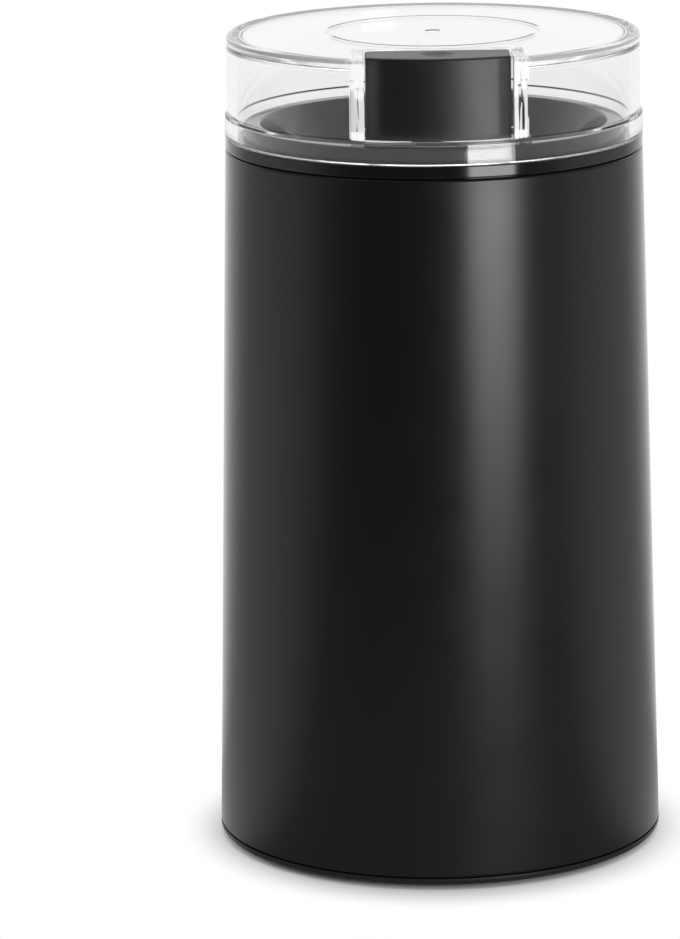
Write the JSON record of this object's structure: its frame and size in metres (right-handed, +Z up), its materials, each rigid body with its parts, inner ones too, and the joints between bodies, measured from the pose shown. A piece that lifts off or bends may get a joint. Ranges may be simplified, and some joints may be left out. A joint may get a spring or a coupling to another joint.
{
  "type": "electric spice grinder",
  "caption": "Upright tapered blade grinder with a clear lift-off lid, a push button in the lid's notch, a steel bowl and a motor below it.",
  "frame": {"origin": "middle of the face that the rubber feet stand on", "axes": "+Z up along the motor shaft, the push button towards -Y, the cord inlet towards +Y"},
  "size_m": [0.0928, 0.0928, 0.1694],
  "materials": {
    "satin_body": "satin black",
    "base_black": "matt black",
    "gloss_ring": "gloss black",
    "clear_lid": "clear, glossy",
    "satin_button": "satin black",
    "bowl_steel": "spun stainless steel",
    "blade_steel": "ground stainless steel",
    "soft_rubber": "soft rubber",
    "shaft_steel": "ground steel",
    "moulded_nylon": "natural nylon",
    "lamination_steel": "stacked laminations",
    "copper_wire": "lacquered copper wire",
    "copper_bar": "turned copper",
    "bronze": "sintered bronze",
    "brass_sheet": "brass sheet",
    "carbon": "pressed carbon",
    "spring_steel": "spring wire",
    "switch_plastic": "moulded plastic",
    "plunger_plastic": "moulded plastic",
    "zinc_screw": "zinc plated",
    "capacitor_case": "moulded case",
    "lead_insulation": "insulated wire"
  },
  "bodies": {
    "base": {"base_cover": "base_black", "base_screws": "zinc_screw", "bowl_gasket": "soft_rubber", "brush_holders": "brass_sheet", "brush_springs": "spring_steel", "button_spring": "spring_steel", "carbon_brushes": "carbon", "chassis_screws": "zinc_screw", "clamp_screws": "zinc_screw", "cord_clamp": "moulded_nylon", "cord_inlet": "soft_rubber", "field_coils": "copper_wire", "housing_shell": "satin_body", "interlock_bracket": "switch_plastic", "interlock_spring": "spring_steel", "interlock_switch": "switch_plastic", "lead_wires": "lead_insulation", "lower_bracket": "moulded_nylon", "lower_bush": "bronze", "motor_carrier": "moulded_nylon", "motor_screws": "zinc_screw", "power_switch": "switch_plastic", "rubber_feet": "soft_rubber", "rubber_mounts": "soft_rubber", "shaft_seal": "soft_rubber", "stator_core": "lamination_steel", "steel_bowl": "bowl_steel", "suppressor": "capacitor_case", "switch_bracket": "switch_plastic", "terminal_block": "moulded_nylon", "top_ring": "gloss_ring", "upper_bush": "bronze"},
    "rotor": {"motor_shaft": "shaft_steel", "armature_core": "lamination_steel", "armature_winding": "copper_wire", "commutator": "copper_bar", "cooling_fan": "moulded_nylon", "thrust_washers": "moulded_nylon", "blade": "blade_steel", "blade_collar": "blade_steel", "blade_nut": "blade_steel"},
    "lid": {"lid": "clear_lid"},
    "button": {"push_button": "satin_button"},
    "plunger": {"switch_plunger": "plunger_plastic"},
    "lever": {"switch_lever": "spring_steel"},
    "interlock": {"interlock_pin": "switch_plastic"}
  },
  "joints": [
    {"name": "lid_lift", "type": "slide", "parent": "base", "child": "lid", "axis": [0, 0, 1], "range_m": [0, 0.06]},
    {"name": "button_press", "type": "slide", "parent": "base", "child": "button", "axis": [0, 0, -1], "range_m": [0, 0.003], "stiffness_N_per_m": 600, "springref_m": -0.003, "deforming": ["button_spring"]},
    {"name": "switch_lever_turn", "type": "hinge", "parent": "base", "child": "lever", "pos_m": [-0.0077, -0.0359, 0.1261], "axis": [0, 1, 0], "range_deg": [0, 13.9]},
    {"name": "switch_plunger_press", "type": "slide", "parent": "base", "child": "plunger", "axis": [0, 0, -1], "range_m": [0, 0.0017]},
    {"name": "interlock_rise", "type": "slide", "parent": "base", "child": "interlock", "axis": [0, 0, 1], "range_m": [0, 0.002], "deforming": ["interlock_spring"]},
    {"name": "rotor_spin", "type": "hinge", "parent": "base", "child": "rotor", "pos_m": [0, 0, 0.07], "axis": [0, 0, 1], "continuous": true}
  ],
  "couplings": [
    {"joint": "switch_lever_turn", "follows": "button_press", "rad_per_m": 79.7},
    {"joint": "switch_plunger_press", "follows": "button_press", "ratio": 0.54},
    {"joint": "interlock_rise", "follows": "lid_lift", "ratio": 0.0333}
  ]
}
